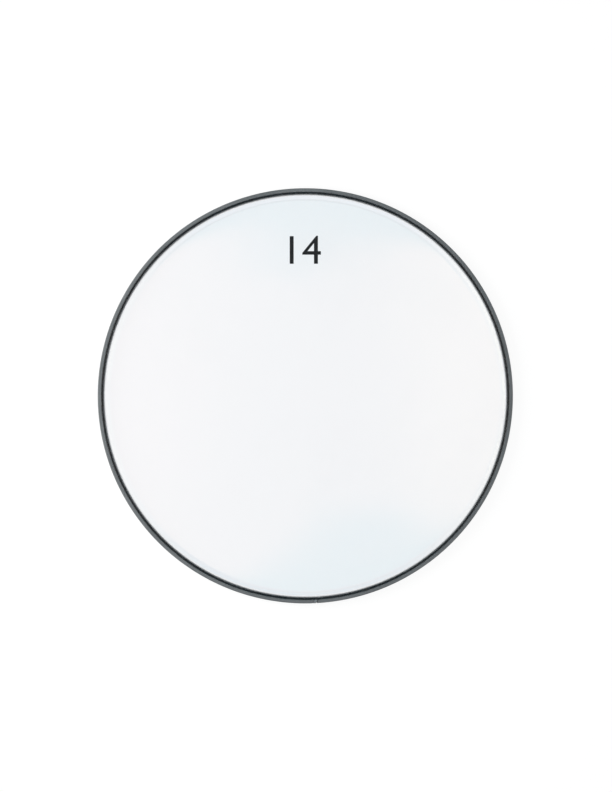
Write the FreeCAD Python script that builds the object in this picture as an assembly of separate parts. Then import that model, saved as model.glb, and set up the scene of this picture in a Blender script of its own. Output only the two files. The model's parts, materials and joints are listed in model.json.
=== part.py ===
import FreeCAD, Part
import math
import os

# A 14 inch drum head in millimetres. The origin is the centre of the hoop's underside.
# +Z points out of the playing face, and -Y to the side where the hoop's joint is.

# The drum that the head fits
shell_radius = 177.8
shell_clearance = 2.0

# Hoop: a channel open at the top, with its outer wall turned in to a lip
inner_wall = 0.6
inner_wall_height = 8.0
groove_width = 3.4
outer_wall = 1.2
hoop_height = 10.0
hoop_floor = 1.2
lip_overhang = 1.95
lip_thickness = 1.4
outer_corner_radius = 1.0
inner_corner_radius = 0.6
groove_corner_radius = 0.5
lip_edge_radius = 0.5
inner_wall_edge_radius = 0.25

# Joint of the hoop: a filler between its two ends, on a tongue along the channel's floor
joint_angle = -86.94
joint_width = 3.8
joint_seam = 0.35
tongue_length = 28.0
tongue_thickness = 0.7

# Film: a flat playing face, a collar with a shoulder and a steep wall, and a flange punched with holes
film_thickness = 0.25
face_height = 18.0
bearing_edge_inset = 3.8
crease_radius = 3.0
shoulder_drop = 3.5
shoulder_clearance = 0.05
knee_radius = 3.0
collar_bend_radius = 1.5
collar_bend_rise = 0.3
flange_gap = 0.15
flange_foot_gap = 1.0
flange_hole_count = 60
flange_hole_diameter = 2.0
flange_hole_rise = 2.4

# Resin: how far its top sags between the lip and the film
resin_sag = 0.5

# Every cut runs this far past what it cuts
overrun = 2.0

# Radii and heights that follow from the sizes above
hoop_inner_radius = shell_radius + shell_clearance
groove_inner_radius = hoop_inner_radius + inner_wall
groove_outer_radius = groove_inner_radius + groove_width
hoop_outer_radius = groove_outer_radius + outer_wall
lip_radius = groove_outer_radius - lip_overhang
lip_underside = hoop_height - lip_thickness
face_radius = shell_radius - bearing_edge_inset
flange_inner_radius = groove_inner_radius + flange_gap
flange_outer_radius = flange_inner_radius + film_thickness
flange_foot = hoop_floor + flange_foot_gap
groove_middle_radius = (groove_inner_radius + groove_outer_radius) / 2

centre_of_base = FreeCAD.Vector(0, 0, 0)
axis_up = FreeCAD.Vector(0, 0, 1)
axis_out = FreeCAD.Vector(1, 0, 0)
full_turn = 360
opposite_joint = joint_angle + full_turn / 2


def point(radius, height):
    """A point of the section, in the plane of X and Z."""
    return FreeCAD.Vector(radius, 0, height)


def line(start, end):
    return Part.LineSegment(start, end).toShape()


def rounded_path(corners):
    """Lines from the first to the last (radius, height, rounding), with a tangent arc at each rounding."""
    edges = []
    last = point(*corners[0][:2])
    for before, corner, after in zip(corners, corners[1:], corners[2:]):
        here = point(*corner[:2])
        rounding = corner[2]
        back = (point(*before[:2]) - here).normalize()
        onward = (point(*after[:2]) - here).normalize()
        inward = (back + onward).normalize()
        half_angle = back.getAngle(onward) / 2
        setback = rounding / math.tan(half_angle)
        middle = here + inward * (rounding / math.sin(half_angle) - rounding)
        entry = here + back * setback
        leave = here + onward * setback
        edges.append(line(last, entry))
        edges.append(Part.Arc(entry, middle, leave).toShape())
        last = leave
    edges.append(line(last, point(*corners[-1][:2])))
    return edges


def swept(section, middle_angle, span):
    """What a section sweeps about the head's axis, half of the span each way from the middle angle."""
    turned = section.copy()
    turned.rotate(centre_of_base, axis_up, middle_angle - span / 2)
    return turned.revolve(centre_of_base, axis_up, span)


def channel_section():
    """The hoop's section: floor, outer wall and lip, groove, and the lower inner wall."""
    corners = [
        (groove_middle_radius, 0, 0),
        (hoop_outer_radius, 0, outer_corner_radius),
        (hoop_outer_radius, hoop_height, outer_corner_radius),
        (lip_radius, hoop_height, lip_edge_radius),
        (lip_radius, lip_underside, lip_edge_radius),
        (groove_outer_radius, lip_underside, groove_corner_radius),
        (groove_outer_radius, hoop_floor, groove_corner_radius),
        (groove_inner_radius, hoop_floor, groove_corner_radius),
        (groove_inner_radius, inner_wall_height, inner_wall_edge_radius),
        (hoop_inner_radius, inner_wall_height, inner_wall_edge_radius),
        (hoop_inner_radius, 0, inner_corner_radius),
        (groove_middle_radius, 0, 0),
    ]
    return Part.Face(Part.Wire(rounded_path(corners)))


def arc_angle(length):
    """The angle that a length along the middle of the groove takes up."""
    return math.degrees(length / groove_middle_radius)


def hoop_channel():
    span = full_turn - arc_angle(joint_width)
    return swept(channel_section(), opposite_joint, span).removeSplitter()


def hoop_splice():
    """A short piece of the hoop's section, on a strip along the flat of the channel's floor."""
    near = groove_inner_radius + groove_corner_radius
    far = groove_outer_radius - groove_corner_radius
    top = hoop_floor + tongue_thickness
    corners = [point(near, hoop_floor), point(far, hoop_floor), point(far, top), point(near, top)]
    strip = Part.Face(Part.makePolygon(corners + corners[:1]))
    tongue = swept(strip, joint_angle, arc_angle(tongue_length))
    filler = swept(channel_section(), joint_angle, arc_angle(joint_width - joint_seam * 2))
    return filler.fuse(tongue).removeSplitter()


def flange_punches():
    """One radial pin for each hole of the flange, none of them at the joint."""
    start = point(flange_inner_radius - overrun, flange_foot + flange_hole_rise)
    length = film_thickness + overrun * 2
    pin = Part.makeCylinder(flange_hole_diameter / 2, length, start, axis_out)
    step = full_turn / flange_hole_count
    punches = []
    for index in range(flange_hole_count):
        turned = pin.copy()
        turned.rotate(centre_of_base, axis_up, joint_angle + step * (index + 1 / 2))
        punches.append(turned)
    return Part.makeCompound(punches)


def film():
    """The film's underside drawn as one line, thickened outward, swept round and punched."""
    underside = face_height - film_thickness
    corners = [
        (flange_inner_radius, flange_foot, 0),
        (flange_inner_radius, inner_wall_height + collar_bend_rise, collar_bend_radius),
        (shell_radius + shoulder_clearance, underside - shoulder_drop, knee_radius),
        (face_radius, underside, crease_radius),
        (0, underside, 0),
    ]
    wire = Part.Wire(rounded_path(corners))
    face = wire.makeOffset2D(-film_thickness, fill=True, openResult=True)
    return swept(face, opposite_joint, full_turn).cut(flange_punches())


def resin_fill(set_film, set_splice):
    """The channel's groove filled to a sagging top, less the film and the splice that are set in it."""
    top_inside = inner_wall_height - inner_wall_edge_radius
    at_wall = point(groove_inner_radius, top_inside)
    at_film = point(flange_outer_radius, top_inside)
    at_lip = point(lip_radius + lip_edge_radius, lip_underside)
    lowest = (at_film + at_lip) / 2 - axis_up * resin_sag
    corners = [
        (groove_inner_radius, top_inside, 0),
        (groove_inner_radius, hoop_floor, groove_corner_radius),
        (groove_outer_radius, hoop_floor, groove_corner_radius),
        (groove_outer_radius, lip_underside, groove_corner_radius),
        (lip_radius + lip_edge_radius, lip_underside, 0),
    ]
    edges = rounded_path(corners)
    edges.append(Part.Arc(at_lip, lowest, at_film).toShape())
    edges.append(line(at_film, at_wall))
    groove = swept(Part.Face(Part.Wire(edges)), opposite_joint, full_turn)
    return groove.cut(set_film).cut(set_splice)


def main():
    os.makedirs("parts", exist_ok=True)
    pieces = {
        "hoop_channel": hoop_channel(),
        "hoop_splice": hoop_splice(),
        "film": film(),
    }
    pieces["resin_fill"] = resin_fill(pieces["film"], pieces["hoop_splice"])
    for name, shape in pieces.items():
        shape.exportStep(f"parts/{name}.step")
        print(name, len(shape.Solids), "solid,", round(shape.Volume), "mm3, valid:", shape.isValid())


main()
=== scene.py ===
import json
import math

import bpy
import numpy as np
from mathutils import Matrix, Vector


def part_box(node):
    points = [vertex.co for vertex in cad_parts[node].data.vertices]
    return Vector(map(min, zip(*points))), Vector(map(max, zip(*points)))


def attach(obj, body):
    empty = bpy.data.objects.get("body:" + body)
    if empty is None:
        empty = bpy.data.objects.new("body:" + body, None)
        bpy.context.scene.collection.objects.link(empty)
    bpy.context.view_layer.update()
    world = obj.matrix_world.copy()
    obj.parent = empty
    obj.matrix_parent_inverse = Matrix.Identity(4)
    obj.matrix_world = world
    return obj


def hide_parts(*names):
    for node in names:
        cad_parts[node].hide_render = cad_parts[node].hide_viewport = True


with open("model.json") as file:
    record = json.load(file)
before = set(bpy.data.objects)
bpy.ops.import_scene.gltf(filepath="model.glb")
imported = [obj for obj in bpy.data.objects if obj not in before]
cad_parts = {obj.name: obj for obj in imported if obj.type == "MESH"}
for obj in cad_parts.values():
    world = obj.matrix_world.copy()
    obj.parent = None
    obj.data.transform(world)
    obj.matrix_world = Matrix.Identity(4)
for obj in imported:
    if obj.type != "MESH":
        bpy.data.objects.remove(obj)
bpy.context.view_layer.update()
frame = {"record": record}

# Sizes in metres. Two radii come from the mounts, the heights from the solids,
# and the other sizes of the section repeat the solids' own.
mm = 0.001
mounts = {mount["name"]: mount["dims"] for mount in frame["record"]["mounts"]}
hoop_inside = mounts["shell_bore"]["r_mm"] * mm
hoop_outside = mounts["counter_hoop_collar"]["r_mm"] * mm
hoop_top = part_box("hoop_channel")[1].z
face_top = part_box("film")[1].z
flange_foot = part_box("film")[0].z

inner_wall = 0.6 * mm
outer_wall = 1.2 * mm
lip_overhang = 1.95 * mm
lip_thickness = 1.4 * mm
channel_floor = 1.2 * mm
inner_wall_top = 8.0 * mm
outer_corner = 1.0 * mm
inner_corner = 0.6 * mm
groove_corner = 0.5 * mm
lip_rounding = 0.5 * mm
inner_wall_rounding = 0.25 * mm
groove_inside = hoop_inside + inner_wall
groove_outside = hoop_outside - outer_wall
groove_middle = (groove_inside + groove_outside) / 2
lip_edge = groove_outside - lip_overhang
lip_underside = hoop_top - lip_thickness

joint_angle = math.radians(-86.94)
joint_width = 3.8 * mm
left_seam = 0.35 * mm
right_seam = 0.6 * mm
joint_slant = -0.6
slant_reach = 30.0 * mm
end_rounding = 0.22 * mm
tongue_length = 28.0 * mm
tongue_thickness = 0.7 * mm
tongue_edge = 0.1 * mm
tongue_end_rounding = 0.07 * mm

film_thickness = 0.25 * mm
face_radius = 174.0 * mm
flat_radius = 172.6 * mm
knee_radius = 177.85 * mm
shoulder_drop = 3.5 * mm
flange_gap = 0.15 * mm
collar_bend_rise = 0.3 * mm
crease_rounding = 3.0 * mm
knee_rounding = 3.0 * mm
bend_rounding = 1.5 * mm
foot_rounding = 0.1 * mm
collar_ripple = 0.05 * mm
face_underside = face_top - film_thickness
flange_inside = groove_inside + flange_gap
flange_outside = flange_inside + film_thickness
collar_bend = inner_wall_top + collar_bend_rise

resin_level = inner_wall_top - inner_wall_rounding
resin_sag = 0.5 * mm
resin_wander = 0.35 * mm
resin_edge = 0.06 * mm

number_size = 36 * mm
number_middle = 129.6 * mm
ink_thickness = 0.02 * mm

hoop_steps = 720
film_steps = 480
filler_steps = 6
tongue_steps = 24
end_steps = 5
sag_steps = 15
longest_run = 4.0 * mm
full_turn = 2 * math.pi
white = (1.0, 1.0, 1.0)

channel_corners = [
    (hoop_outside, 0, outer_corner),
    (hoop_outside, hoop_top, outer_corner),
    (lip_edge, hoop_top, lip_rounding),
    (lip_edge, lip_underside, lip_rounding),
    (groove_outside, lip_underside, groove_corner),
    (groove_outside, channel_floor, groove_corner),
    (groove_inside, channel_floor, groove_corner),
    (groove_inside, inner_wall_top, inner_wall_rounding),
    (hoop_inside, inner_wall_top, inner_wall_rounding),
    (hoop_inside, 0, inner_corner),
]


def rounded_outline(corners, steps=7):
    """Points and outward normals of a closed outline in (radius, height), taken anticlockwise.
    At each corner the unit normal turns evenly from one run's to the next one's, and the points are the
    arc's centre plus its rounding times that normal, or minus it where the corner is hollow."""
    corners = np.array(corners, float)
    spots = corners[:, :2]
    rounding = corners[:, 2]
    run = np.roll(spots, -1, axis=0) - spots
    run /= np.linalg.norm(run, axis=1, keepdims=True)
    after = np.stack([run[:, 1], -run[:, 0]], axis=1)
    before = np.roll(after, 1, axis=0)
    across = before[:, 0] * after[:, 1] - before[:, 1] * after[:, 0]
    along = (before * after).sum(axis=1)
    turn = np.arctan2(across, along)
    angle = np.arctan2(before[:, 1], before[:, 0])[:, None] + turn[:, None] * np.linspace(0, 1, steps)
    normals = np.stack([np.cos(angle), np.sin(angle)], axis=-1)
    bulge = np.sign(turn) * rounding
    centres = spots - (bulge / (1 + along))[:, None] * (before + after)
    points = centres[:, None] + bulge[:, None, None] * normals
    kept = (rounding[:, None] > 0) | (np.arange(steps) == 0)
    return points[kept], normals[kept]


def subdivided(path, spacing):
    """The path's points, with each longer run cut evenly into pieces no longer than the spacing."""
    lengths = np.linalg.norm(np.diff(path, axis=0), axis=1)
    counts = np.maximum(np.ceil(lengths / spacing), 1).astype(int)
    starts = np.concatenate([[0], np.cumsum(lengths)])
    index = np.arange(counts.sum()) - np.repeat(np.cumsum(counts) - counts, counts)
    stations = np.repeat(starts[:-1], counts) + np.repeat(lengths / counts, counts) * index
    stations = np.append(stations, starts[-1])
    return np.stack([np.interp(stations, starts, path[:, axis]) for axis in (0, 1)], axis=1)


def grid_faces(rows, columns, rows_meet, columns_meet):
    """Four-sided faces between neighbouring points of a grid, whose rows go round the head and whose columns
    go along its section."""
    row = np.arange(rows if rows_meet else rows - 1)[:, None]
    column = np.arange(columns if columns_meet else columns - 1)[None]
    next_row = (row + 1) % rows * columns
    next_column = (column + 1) % columns
    row = row * columns
    sides = (row + column, next_row + column, next_row + next_column, row + next_column)
    return np.stack(np.broadcast_arrays(*sides), axis=-1).reshape(-1, 4)


def turned(radius, height, angle):
    """Points turned about the head's axis: (radius cos angle, radius sin angle, height)."""
    places = np.broadcast_arrays(radius * np.cos(angle), radius * np.sin(angle), height)
    return np.stack(places, axis=-1)


def grid_normals(grid, columns_meet):
    """Outward unit normals of a grid closed round the head, from the cross product of its two differences."""
    around = np.roll(grid, -1, axis=0) - np.roll(grid, 1, axis=0)
    if columns_meet:
        along = np.roll(grid, -1, axis=1) - np.roll(grid, 1, axis=1)
    else:
        along = np.gradient(grid, axis=1)
    normals = np.cross(around, along)
    return normals / np.linalg.norm(normals, axis=-1, keepdims=True)


def make_piece(name, spots, faces, normals, finish):
    """A smooth piece on the head's one body, with the normals that it is given."""
    mesh = bpy.data.meshes.new(name)
    mesh.from_pydata(spots.tolist(), [], faces)
    mesh.polygons.foreach_set("use_smooth", np.ones(len(mesh.polygons), bool))
    mesh.update()
    mesh.normals_split_custom_set_from_vertices(normals.tolist())
    mesh.materials.append(finish)
    piece = bpy.data.objects.new(name, mesh)
    bpy.context.scene.collection.objects.link(piece)
    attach(piece, "root")
    return piece


def bar_along_hoop(section, normals, start, end, count, rounding, slant=0.0, reach=math.inf):
    """A section carried round the head from one angle to another, with its ends rounded over and closed.
    At an end the normal leans from the section's own to straight out of the cut, and the section draws in by
    the rounding times one minus the lean's cosine, at the rounding times one minus its sine from the cut.
    The cut runs along the hoop by the slant times the distance out from the groove's middle, and this shift
    fades out evenly over the reach."""
    quarter = np.linspace(-math.pi / 2, 0, end_steps)
    rise = rounding * (1 + np.sin(quarter)) / groove_middle
    near = start + rise
    far = end - rise[::-1]
    angle = np.concatenate([near, np.linspace(near[-1], far[0], count)[1:-1], far])[:, None]
    lean = np.concatenate([quarter, np.zeros(count - 2), -quarter[::-1]])[:, None]
    inset = rounding * (1 - np.cos(lean))
    radius = section[:, 0] - inset * normals[:, 0]
    height = section[:, 1] - inset * normals[:, 1]
    from_end = np.minimum(angle - start, end - angle) * groove_middle
    shift = slant * (radius / groove_middle - 1) * np.clip(1 - from_end / reach, 0, 1)
    square = 1 / math.hypot(1, slant)
    outward = np.cos(lean) * normals[:, 0] - np.sin(lean) * slant * square
    upward = np.cos(lean) * normals[:, 1]
    onward = np.sin(lean) * square
    facing = turned(outward, upward, angle) + turned(onward, 0 * lean, angle + math.pi / 2)
    rows, columns = radius.shape
    faces = grid_faces(rows, columns, False, True).tolist()
    faces.append(list(range(columns)))
    faces.append(list(range(rows * columns - 1, (rows - 1) * columns - 1, -1)))
    return turned(radius, height, angle + shift).reshape(-1, 3), faces, facing.reshape(-1, 3)


def make_hoop(finish):
    """The channel's rounded section carried from one side of the joint all the way round to the other."""
    section, normals = rounded_outline(channel_corners)
    half_joint = joint_width / 2 / groove_middle
    start = joint_angle + half_joint
    end = joint_angle + full_turn - half_joint
    bar = bar_along_hoop(section, normals, start, end, hoop_steps, end_rounding, joint_slant, slant_reach)
    return make_piece("hoop", *bar, finish)


def make_joint_filler(finish):
    """The channel's section carried across the joint, and under it a flat strip along the channel's floor."""
    section, normals = rounded_outline(channel_corners)
    left_end = joint_angle - (joint_width / 2 - left_seam) / groove_middle
    right_end = joint_angle + (joint_width / 2 - right_seam) / groove_middle
    spots, faces, facing = bar_along_hoop(
        section, normals, left_end, right_end, filler_steps, end_rounding, joint_slant)
    near = groove_inside + groove_corner
    far = groove_outside - groove_corner
    top = channel_floor + tongue_thickness
    strip, strip_normals = rounded_outline([
        (near, channel_floor, tongue_edge),
        (far, channel_floor, tongue_edge),
        (far, top, tongue_edge),
        (near, top, tongue_edge),
    ], steps=3)
    half_tongue = tongue_length / 2 / groove_middle
    start = joint_angle - half_tongue
    end = joint_angle + half_tongue
    tongue_spots, tongue_faces, tongue_facing = bar_along_hoop(
        strip, strip_normals, start, end, tongue_steps, tongue_end_rounding)
    faces += [[spot + len(spots) for spot in face] for face in tongue_faces]
    all_spots = np.concatenate([spots, tongue_spots])
    all_facing = np.concatenate([facing, tongue_facing])
    return make_piece("joint_filler", all_spots, faces, all_facing, finish)


def ring_waves(angle, seed, fewest, most, count):
    """A sum of cosines round the head, each with a whole number of waves, scaled to lie between 0 and 1."""
    chance = np.random.default_rng(seed)
    waves = chance.integers(fewest, most, count)
    phase = chance.uniform(0, full_turn, count)
    return 0.5 + 0.5 * np.cos(angle[..., None] * waves + phase).mean(axis=-1)


def face_dip(x, y):
    """How far the film's face lies below its highest level: crossing plane waves, each a cosine of the distance
    along its own direction, strongest between the middle and the edge and level at the crease."""
    chance = np.random.default_rng(14)
    count = 9
    heading = chance.uniform(0, full_turn, count)
    length = chance.uniform(70, 210, count) * mm
    phase = chance.uniform(0, full_turn, count)
    share = np.hypot(x, y) / flat_radius
    run = x[..., None] * np.cos(heading) + y[..., None] * np.sin(heading)
    waves = 0.5 + 0.5 * np.cos(full_turn * run / length + phase).mean(axis=-1)
    settled = (1 - np.clip(share, 0, 1) ** 8) ** 2
    least = 0.03 * mm
    deepest = 0.3 * mm
    return settled * (least + deepest * waves * (0.35 + 0.65 * share ** 2))


def make_film(finish):
    """The film's closed outline, from the middle of its underside out over the shoulder, wall and flange and
    back over its top, carried round the head. Each corner of the top is the underside's, moved out by the
    thickness times the sum of the two runs' normals over one plus their product. The face dips by its own
    waves, and the collar draws in by faint ripples."""
    under = np.array([
        (0, face_underside),
        (face_radius, face_underside),
        (knee_radius, face_underside - shoulder_drop),
        (flange_inside, collar_bend),
        (flange_inside, flange_foot),
    ])
    rounding = np.array([0, crease_rounding, knee_rounding, bend_rounding, foot_rounding])
    run = np.diff(under, axis=0)
    run /= np.linalg.norm(run, axis=1, keepdims=True)
    out = np.stack([-run[:, 1], run[:, 0]], axis=1)
    before = np.concatenate([out[:1], out])
    after = np.concatenate([out, out[-1:]])
    top = under + film_thickness * (before + after) / (1 + (before * after).sum(axis=1, keepdims=True))
    top_rounding = rounding + film_thickness * (rounding > foot_rounding)
    corners = np.concatenate([
        np.column_stack([under, rounding]),
        np.column_stack([top, top_rounding])[::-1],
    ])
    outline, _ = rounded_outline(corners, steps=11)
    profile = subdivided(outline, longest_run)[1:-1]
    angle = np.linspace(0, full_turn, film_steps, endpoint=False)[:, None]
    rise = np.clip((profile[:, 1] - collar_bend) / (face_underside - collar_bend), 0, 1)
    waves = ring_waves(angle, seed=3, fewest=18, most=90, count=8)
    ripple = collar_ripple * np.sin(math.pi * rise) * waves
    radius = profile[:, 0] - np.where(profile[:, 0] > flat_radius, ripple, 0)
    height = profile[:, 1] - face_dip(radius * np.cos(angle), radius * np.sin(angle))
    grid = turned(radius, height, angle)
    normals = grid_normals(grid, False)
    rows, columns = radius.shape
    middle = np.zeros(1)
    middle_dip = face_dip(middle, middle)[0]
    poles = np.array([[0, 0, face_underside - middle_dip], [0, 0, face_top - middle_dip]])
    first = np.arange(rows) * columns
    following = np.roll(first, -1)
    last = first + columns - 1
    under_pole = np.full(rows, rows * columns)
    fans = np.concatenate([
        np.stack([under_pole, following, first], axis=1),
        np.stack([under_pole + 1, last, np.roll(last, -1)], axis=1),
    ])
    faces = grid_faces(rows, columns, True, False).tolist() + fans.tolist()
    spots = np.concatenate([grid.reshape(-1, 3), poles])
    facing = np.concatenate([normals.reshape(-1, 3), [[0, 0, -1], [0, 0, 1]]])
    return make_piece("clear_film", spots, faces, facing, finish)


def make_resin(finish):
    """The groove's outline with a slot for the film, closed at the top by an arc that sags from the lip to the
    film, and carried round the head. The arc is the circle through its two ends and its lowest point. The
    level at the film wanders a little, and the floor steps over the tongue."""
    lip = np.array([lip_edge + lip_rounding, lip_underside])
    film = np.array([flange_outside, resin_level])
    low = (lip + film) / 2 - np.array([0, resin_sag])
    sides = 2 * np.array([low - lip, film - lip])
    middle = np.linalg.solve(sides, np.array([low @ low - lip @ lip, film @ film - lip @ lip]))
    reach = np.linalg.norm(lip - middle)
    from_lip, from_film = (np.arctan2(*(spot - middle)[::-1]) for spot in (lip, film))
    sweep = np.linspace(from_lip, from_film, sag_steps)
    arc = middle + reach * np.stack([np.cos(sweep), np.sin(sweep)], axis=1)
    sharp = np.zeros((len(arc), 1))
    outline, _ = rounded_outline([
        (groove_inside, channel_floor, groove_corner),
        (groove_outside, channel_floor, groove_corner),
        (groove_outside, lip_underside, groove_corner),
        *np.hstack([arc, sharp]),
        (flange_outside, flange_foot, resin_edge),
        (flange_inside, flange_foot, resin_edge),
        (flange_inside, resin_level, resin_edge),
        (groove_inside, resin_level, resin_edge),
    ], steps=5)
    angle = np.linspace(0, full_turn, hoop_steps, endpoint=False)[:, None]
    share = np.clip((lip[0] - outline[:, 0]) / (lip[0] - film[0]), 0, 1)
    below_level = 0.3 * mm
    on_top = (outline[:, 1] > resin_level - below_level) & (outline[:, 0] > flange_outside - resin_edge)
    wander = (ring_waves(angle, seed=5, fewest=2, most=40, count=7) - 0.5) * resin_wander
    height = outline[:, 1] + np.where(on_top, share, 0) * wander
    from_joint = np.abs(np.angle(np.exp(1j * (angle - joint_angle)))) * groove_middle
    past_tongue = 1.7 * mm
    near_tongue = from_joint < tongue_length / 2 + past_tongue
    over_tongue = near_tongue & (outline[:, 1] < flange_foot - resin_edge)
    height = np.where(over_tongue, np.maximum(height, channel_floor + tongue_thickness), height)
    grid = turned(outline[:, 0], height, angle)
    rows, columns = height.shape
    faces = grid_faces(rows, columns, True, True).tolist()
    facing = grid_normals(grid, True).reshape(-1, 3)
    return make_piece("resin", grid.reshape(-1, 3), faces, facing, finish)


def make_size_number(finish):
    """The plain number of the head's size, flat on the film: each point takes the face's dip at its own
    place."""
    letters = bpy.data.curves.new("size_number", "FONT")
    letters.body = "14"
    letters.size = number_size
    letters.align_x = "CENTER"
    letters.align_y = "CENTER"
    letters.extrude = ink_thickness / 2
    draft = bpy.data.objects.new("size_number_draft", letters)
    bpy.context.scene.collection.objects.link(draft)
    mesh = bpy.data.meshes.new_from_object(draft.evaluated_get(bpy.context.evaluated_depsgraph_get()))
    bpy.data.objects.remove(draft)
    mesh.name = "size_number"
    spots = np.empty(len(mesh.vertices) * 3)
    mesh.vertices.foreach_get("co", spots)
    x, y, z = spots.reshape(-1, 3).T
    x = x - (x.min() + x.max()) / 2
    y = y - (y.min() + y.max()) / 2 + number_middle
    z = z + face_top - face_dip(x, y) + ink_thickness / 4
    mesh.vertices.foreach_set("co", np.stack([x, y, z], axis=1).ravel())
    mesh.update()
    mesh.materials.clear()
    mesh.materials.append(finish)
    piece = bpy.data.objects.new("size_number", mesh)
    bpy.context.scene.collection.objects.link(piece)
    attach(piece, "root")
    return piece


class Strand:
    """One output of a node. Arithmetic on strands and plain numbers adds Math nodes."""

    def __init__(self, wiring, socket):
        self.wiring = wiring
        self.socket = socket

    def other(self, output):
        return Strand(self.wiring, self.socket.node.outputs[output])

    def maths(self, operation, *values):
        return self.wiring.add("ShaderNodeMath", {"operation": operation}, dict(enumerate(values)))

    def __add__(self, value):
        return self.maths("ADD", self, value)

    def __radd__(self, value):
        return self.maths("ADD", value, self)

    def __sub__(self, value):
        return self.maths("SUBTRACT", self, value)

    def __rsub__(self, value):
        return self.maths("SUBTRACT", value, self)

    def __mul__(self, value):
        return self.maths("MULTIPLY", self, value)

    def __rmul__(self, value):
        return self.maths("MULTIPLY", value, self)

    def __truediv__(self, value):
        return self.maths("DIVIDE", self, value)

    def __rtruediv__(self, value):
        return self.maths("DIVIDE", value, self)

    def __pow__(self, value):
        return self.maths("POWER", self, value)

    def __rpow__(self, value):
        return self.maths("POWER", value, self)

    def __abs__(self):
        return self.maths("ABSOLUTE", self)

    def most(self, value):
        return self.maths("MAXIMUM", self, value)

    def step(self, low, high):
        """0 below one value and 1 above the other, with a smooth rise between them."""
        return self.wiring.add("ShaderNodeMapRange", {"interpolation_type": "SMOOTHSTEP"},
                               {"Value": self, "From Min": low, "From Max": high})


class Wiring:
    """The nodes of one finish, of the floor or of the room."""

    def __init__(self, owner):
        owner.use_nodes = True
        self.tree = owner.node_tree
        self.tree.nodes.clear()

    def add(self, kind, settings=None, sockets=None, output=0):
        node = self.tree.nodes.new(kind)
        for setting, value in (settings or {}).items():
            setattr(node, setting, value)
        for name, value in (sockets or {}).items():
            if isinstance(value, Strand):
                self.tree.links.new(value.socket, node.inputs[name])
            elif isinstance(value, tuple) and node.inputs[name].type == "RGBA":
                node.inputs[name].default_value = (*value, 1)
            else:
                node.inputs[name].default_value = value
        return Strand(self, node.outputs[output]) if node.outputs else node

    def mix(self, share, first, second):
        return self.add("ShaderNodeMix", {"data_type": "RGBA"}, {0: share, 6: first, 7: second}, 2)

    def noise(self, place, scale, detail=3.0, roughness=0.5):
        return self.add("ShaderNodeTexNoise", {},
                        {"Vector": place, "Scale": scale, "Detail": detail, "Roughness": roughness})

    def place(self):
        """Where a point is on the head, in the piece's own coordinates."""
        return self.add("ShaderNodeTexCoord", output="Object")

    def parts(self, vector):
        """The x, y and z of a place or a direction."""
        x = self.add("ShaderNodeSeparateXYZ", {}, {0: vector})
        return x, x.other("Y"), x.other("Z")

    def joined(self, x, y, z):
        return self.add("ShaderNodeCombineXYZ", {}, {0: x, 1: y, 2: z})

    def bump(self, height, depth):
        return self.add("ShaderNodeBump", {}, {"Height": height, "Strength": 1.0, "Distance": depth})

    def surface(self, shader):
        self.add("ShaderNodeOutputMaterial", {}, {"Surface": shader})


def new_finish(name):
    finish = bpy.data.materials.new(name)
    return finish, Wiring(finish)


def from_axis(x, y):
    """How far a point lies from the head's axis."""
    return (x * x + y * y) ** 0.5


def hoop_coat():
    """Dark grey satin coat: rolling lines along the hoop, a cloudy tone, fine grain, and edges that are rubbed
    paler here and there."""
    dark_grey = (0.13, 0.137, 0.139)
    mid_grey = (0.2, 0.21, 0.214)
    rubbed_grey = (0.36, 0.37, 0.375)
    finish, wiring = new_finish("satin_grey_hoop_coat")
    whole = wiring.place()
    x, y, z = wiring.parts(whole)
    radius = from_axis(x, y)
    along_hoop = wiring.joined(x / radius * 2.5, y / radius * 2.5, (radius + z) * 2600)
    lines = wiring.noise(along_hoop, scale=1.0, detail=4.0, roughness=0.6)
    cloud = wiring.noise(whole, scale=26, detail=4.0, roughness=0.55)
    grain = wiring.noise(whole, scale=1500, detail=2.0)
    tone = 0.42 * lines + 0.38 * cloud + 0.2 * grain
    outer_edge = radius.step(hoop_outside - 0.45 * mm, hoop_outside - 0.05 * mm)
    outer_edge = outer_edge * z.step(hoop_top - 0.7 * mm, hoop_top - 0.25 * mm)
    inner_edge = 1 - radius.step(lip_edge + 0.05 * mm, lip_edge + 0.35 * mm)
    inner_edge = inner_edge * z.step(hoop_top - 0.4 * mm, hoop_top - 0.05 * mm)
    lower_edge = radius.step(hoop_outside - 0.7 * mm, hoop_outside - 0.2 * mm)
    lower_edge = lower_edge * (1 - z.step(0.15 * mm, 0.5 * mm))
    patches = (cloud * 0.6 + grain * 0.4).step(0.5, 0.66)
    worn = (outer_edge + inner_edge + lower_edge) * patches
    colour = wiring.mix(tone.step(0.3, 0.7), dark_grey, mid_grey)
    shader = wiring.add("ShaderNodeBsdfPrincipled", {}, {
        "Base Color": wiring.mix(worn * 0.55, colour, rubbed_grey),
        "Metallic": 0.2,
        "Roughness": 0.36 + 0.14 * cloud + 0.12 * lines - 0.1 * worn,
        "Normal": wiring.bump(lines * 0.7 + grain * 0.3, depth=0.03 * mm),
    })
    wiring.surface(shader)
    return finish


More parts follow.
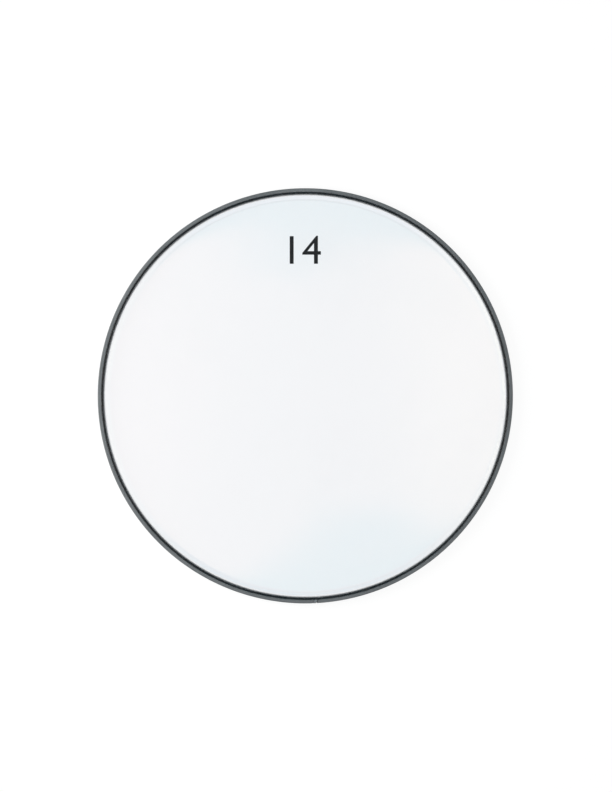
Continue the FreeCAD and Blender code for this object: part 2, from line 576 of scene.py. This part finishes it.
def dressed_joint():
    """The filler's face, filed across the hoop and a little brighter than the coat."""
    dark_grey = (0.15, 0.157, 0.162)
    filed_grey = (0.26, 0.27, 0.275)
    finish, wiring = new_finish("dressed_grey_joint")
    whole = wiring.place()
    x, y, z = wiring.parts(whole)
    across_hoop = wiring.joined(x * 2400, y * 300, z * 300)
    file_marks = wiring.noise(across_hoop, scale=1.0, detail=3.0, roughness=0.6)
    cloud = wiring.noise(whole, scale=160, detail=3.0)
    tone = 0.6 * file_marks + 0.4 * cloud
    shader = wiring.add("ShaderNodeBsdfPrincipled", {}, {
        "Base Color": wiring.mix(tone.step(0.3, 0.7), dark_grey, filed_grey),
        "Metallic": 0.45,
        "Roughness": 0.34 + 0.22 * file_marks,
        "Normal": wiring.bump(file_marks, depth=0.03 * mm),
    })
    wiring.surface(shader)
    return finish


def poured_resin():
    """Black resin, glossy where it set level and duller in its flow marks, with a few small burst bubbles."""
    deep_black = (0.008, 0.009, 0.0095)
    flow_black = (0.02, 0.022, 0.0225)
    finish, wiring = new_finish("black_poured_resin")
    whole = wiring.place()
    flow = wiring.noise(whole, scale=75, detail=3.0)
    fine = wiring.noise(whole, scale=700, detail=3.0, roughness=0.6)
    cells = wiring.add("ShaderNodeTexVoronoi", {}, {"Vector": whole, "Scale": 300.0})
    chosen = wiring.add("ShaderNodeSeparateColor", {}, {0: cells.other("Color")})
    bubble = (1 - cells.step(0.1, 0.22)) * chosen.step(0.78, 0.8)
    shader = wiring.add("ShaderNodeBsdfPrincipled", {}, {
        "Base Color": wiring.mix(flow.step(0.35, 0.7), deep_black, flow_black),
        "Roughness": 0.14 + 0.2 * flow.step(0.4, 0.75) + 0.1 * fine,
        "Normal": wiring.bump(flow * 0.5 + fine * 0.06 - bubble * 0.25, depth=0.4 * mm),
    })
    wiring.surface(shader)
    return finish


def clear_film():
    """Clear polyester: what it mirrors rises from a little straight on to 1 at a glancing view, as the fifth
    power of one minus the cosine. A faint haze lies in handling marks and where the collar was drawn."""
    straight_on = 0.058
    let_through = (0.944, 0.951, 0.959)
    blue_haze = (0.84, 0.88, 0.91)
    white_haze = (0.92, 0.94, 0.95)
    finish, wiring = new_finish("clear_polyester_film")
    whole = wiring.place()
    x, y, z = wiring.parts(whole)
    radius = from_axis(x, y)
    smudge = wiring.noise(whole, scale=9, detail=5.0, roughness=0.6)
    wiped = wiring.joined(x * 24, y * 260, z)
    marks = wiring.noise(wiped, scale=1.0, detail=4.0, roughness=0.65)
    facing = wiring.add("ShaderNodeLayerWeight", {}, {"Blend": 0.5}, "Facing")
    mirror = straight_on + (1 - straight_on) * facing ** 5
    drawn = radius.step(face_radius - 1.6 * mm, face_radius + 0.6 * mm)
    drawn = drawn * (1 - radius.step(knee_radius - 0.35 * mm, knee_radius + 2.15 * mm))
    along_collar = wiring.joined(x / radius * 60, y / radius * 60, z * 90)
    strained = wiring.noise(along_collar, scale=1.0, detail=3.0)
    handled = 0.008 + 0.016 * smudge.step(0.45, 0.8) + 0.012 * marks.step(0.6, 0.8)
    haze = handled + drawn * (0.004 + 0.012 * strained)
    clear = wiring.add("ShaderNodeBsdfTransparent", {}, {"Color": let_through})
    gloss = wiring.add("ShaderNodeBsdfAnisotropic", {}, {
        "Color": white,
        "Roughness": 0.03 + 0.05 * smudge.step(0.4, 0.8) + 0.03 * drawn,
    })
    veil = wiring.add("ShaderNodeBsdfPrincipled", {}, {
        "Base Color": wiring.mix(smudge, blue_haze, white_haze),
        "Roughness": 0.6,
        "Specular IOR Level": 0.0,
    })
    sheet = wiring.add("ShaderNodeMixShader", {}, {0: mirror, 1: clear, 2: gloss})
    wiring.surface(wiring.add("ShaderNodeMixShader", {}, {0: haze, 1: sheet, 2: veil}))
    return finish


def printed_ink():
    """Black printed ink, matt, laid a little unevenly and with a few pinholes."""
    ink_black = (0.008, 0.0085, 0.009)
    thin_black = (0.05, 0.052, 0.054)
    finish, wiring = new_finish("black_printed_ink")
    whole = wiring.place()
    lay = wiring.noise(whole, scale=320, detail=3.0)
    pinholes = wiring.noise(whole, scale=2600, detail=1.0).step(0.68, 0.74)
    shader = wiring.add("ShaderNodeBsdfPrincipled", {}, {
        "Base Color": wiring.mix(pinholes * 0.5 + lay * 0.2, ink_black, thin_black),
        "Roughness": 0.42 + 0.2 * lay,
        "Specular IOR Level": 0.2,
        "Normal": wiring.bump(lay - pinholes * 0.5, depth=0.01 * mm),
    })
    wiring.surface(shader)
    return finish


def seen_ray(wiring):
    """1 for what the camera sees straight, in a gloss or through something, and 0 for light on its way."""
    path = wiring.add("ShaderNodeLightPath", output="Is Camera Ray")
    return path.most(path.other("Is Glossy Ray")).most(path.other("Is Transmission Ray"))


def make_floor():
    """A wide pale floor that shows white, keeps a faint shadow and is pure white from a step away."""
    reach = 40.0
    level = -0.02 * mm
    shadow_grey = (0.2, 0.2, 0.2)
    pale_grey = (0.8, 0.8, 0.8)
    mesh = bpy.data.meshes.new("floor")
    corners = [(-reach, -reach, level), (reach, -reach, level), (reach, reach, level), (-reach, reach, level)]
    mesh.from_pydata(corners, [], [(0, 1, 2, 3)])
    paint, wiring = new_finish("pale_floor")
    x, y, _ = wiring.parts(wiring.place())
    glow = wiring.add("ShaderNodeEmission", {}, {"Color": white, "Strength": 0.884})
    matt = wiring.add("ShaderNodeBsdfDiffuse", {}, {"Color": shadow_grey})
    near = wiring.add("ShaderNodeAddShader", {}, {0: glow, 1: matt})
    far = wiring.add("ShaderNodeEmission", {}, {"Color": white, "Strength": 1.0})
    away = from_axis(x, y).step(0.19, 0.6)
    shown = wiring.add("ShaderNodeMixShader", {}, {0: away, 1: near, 2: far})
    lighting = wiring.add("ShaderNodeBsdfDiffuse", {}, {"Color": pale_grey})
    wiring.surface(wiring.add("ShaderNodeMixShader", {}, {0: seen_ray(wiring), 1: lighting, 2: shown}))
    mesh.materials.append(paint)
    floor = bpy.data.objects.new("floor", mesh)
    bpy.context.scene.collection.objects.link(floor)


def make_room():
    """An even room for light. Seen straight it is white. In a gloss it has two pale panels overhead, dimmer and
    bluer towards both ends, bright walls at the sides, and a grey band and a pale skirting at the horizon."""
    even_light = (0.41, 0.415, 0.42)
    left_panel = (1.25, 1.07, 1.03)
    right_panel = (1.57, 1.39, 1.25)
    between_panels = (1.06, 1.01, 1.02)
    far_ceiling = (0.31, 0.73, 0.87)
    near_ceiling = (0.29, 0.75, 0.89)
    side_wall = (1.5, 1.48, 1.46)
    near_end_low = (0.02, 0.04, 0.05)
    near_end_high = (0.45, 0.6, 0.78)
    far_end_low = (0.4, 0.64, 0.8)
    far_end_high = (0.0, 0.3, 0.45)
    grey_band = (0.74, 0.76, 0.78)
    near_skirting = (0.22, 0.58, 0.8)
    far_skirting = (0.75, 1.0, 1.3)
    left_skirting = (1.9, 1.82, 1.7)
    right_skirting = (2.3, 2.2, 1.85)
    room = bpy.data.worlds.new("studio_room")
    bpy.context.scene.world = room
    wiring = Wiring(room)
    x, y, z = wiring.parts(wiring.add("ShaderNodeTexCoord", output="Generated"))
    right_half = x.step(-0.1, 0.1)
    far_half = y.step(-0.1, 0.1)

    aside = x / z.most(0.02)
    ahead = y / z.most(0.02)
    panels = wiring.mix(aside.step(-0.02, 0.02), left_panel, right_panel)
    overhead = wiring.mix(abs(aside).step(0.015, 0.075), between_panels, panels)
    to_far_end = (ahead - 0.15 * abs(aside)).step(0.047, 0.061)
    overhead = wiring.mix(to_far_end, overhead, far_ceiling)
    to_near_end = (0.5 * aside - 8 * aside * aside - ahead).step(0.045, 0.066)
    overhead = wiring.mix(to_near_end, overhead, near_ceiling)

    to_side = (abs(x) / from_axis(x, y).most(0.001)).step(0.45, 1.0)
    low_ends = wiring.mix(far_half, near_end_low, far_end_low)
    high_ends = wiring.mix(far_half, near_end_high, far_end_high)
    ends = wiring.mix(z.step(0.2, 0.5), low_ends, high_ends)
    walls = wiring.mix(to_side, ends, side_wall)
    walls = wiring.mix(z.step(0.06, 0.1), grey_band, walls)
    skirting_ends = wiring.mix(far_half, near_skirting, far_skirting)
    skirting_sides = wiring.mix(right_half, left_skirting, right_skirting)
    skirting = wiring.mix(to_side, skirting_ends, skirting_sides)
    walls = wiring.mix(z.step(0.02, 0.035), skirting, walls)
    gloss = wiring.mix(z.step(0.955, 0.993), walls, overhead)

    in_gloss = wiring.add("ShaderNodeLightPath", output="Is Glossy Ray")
    straight = in_gloss.other("Is Camera Ray").most(in_gloss.other("Is Transmission Ray"))
    colour = wiring.mix(straight, wiring.mix(in_gloss, even_light, gloss), white)
    back = wiring.add("ShaderNodeBackground", {}, {"Color": colour, "Strength": 1.0})
    wiring.add("ShaderNodeOutputWorld", {}, {"Surface": back})


def softbox(name, place, side, watts):
    """A square lamp that faces the head and shows neither straight nor in a gloss."""
    light = bpy.data.lights.new(name, "AREA")
    light.shape = "SQUARE"
    light.size = side
    light.energy = watts
    lamp = bpy.data.objects.new(name, light)
    lamp.location = place
    lamp.rotation_euler = (-Vector(place)).to_track_quat("-Z", "Y").to_euler()
    lamp.visible_camera = False
    lamp.visible_glossy = False
    bpy.context.scene.collection.objects.link(lamp)


def make_camera():
    """Straight above the head. The lens gives the hoop's top edge its radius in the picture, in pixels."""
    distance = 2.2
    right_of_axis = 0.62 * mm
    above_axis = -0.15 * mm
    picture_height = 792
    hoop_pixels = 207.65
    top_edge = hoop_top - outer_corner
    lens_pixels = hoop_pixels * (distance - top_edge) / hoop_outside
    view = bpy.data.cameras.new("camera")
    view.sensor_width = 36
    view.lens = lens_pixels * view.sensor_width / picture_height
    camera = bpy.data.objects.new("camera", view)
    camera.location = (right_of_axis, above_axis, distance)
    bpy.context.scene.collection.objects.link(camera)
    bpy.context.scene.camera = camera


hoop = make_hoop(hoop_coat())
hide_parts("hoop_channel")
joint_filler = make_joint_filler(dressed_joint())
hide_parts("hoop_splice")
film = make_film(clear_film())
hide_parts("film")
resin = make_resin(poured_resin())
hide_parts("resin_fill")
make_size_number(printed_ink())

make_floor()
make_room()
softbox("key_softbox", place=(-0.6, 0.1, 0.42), side=0.7, watts=4.0)
softbox("fill_softbox", place=(0.9, -0.5, 1.4), side=1.0, watts=2.0)
make_camera()
bpy.context.scene.view_settings.view_transform = "Standard"
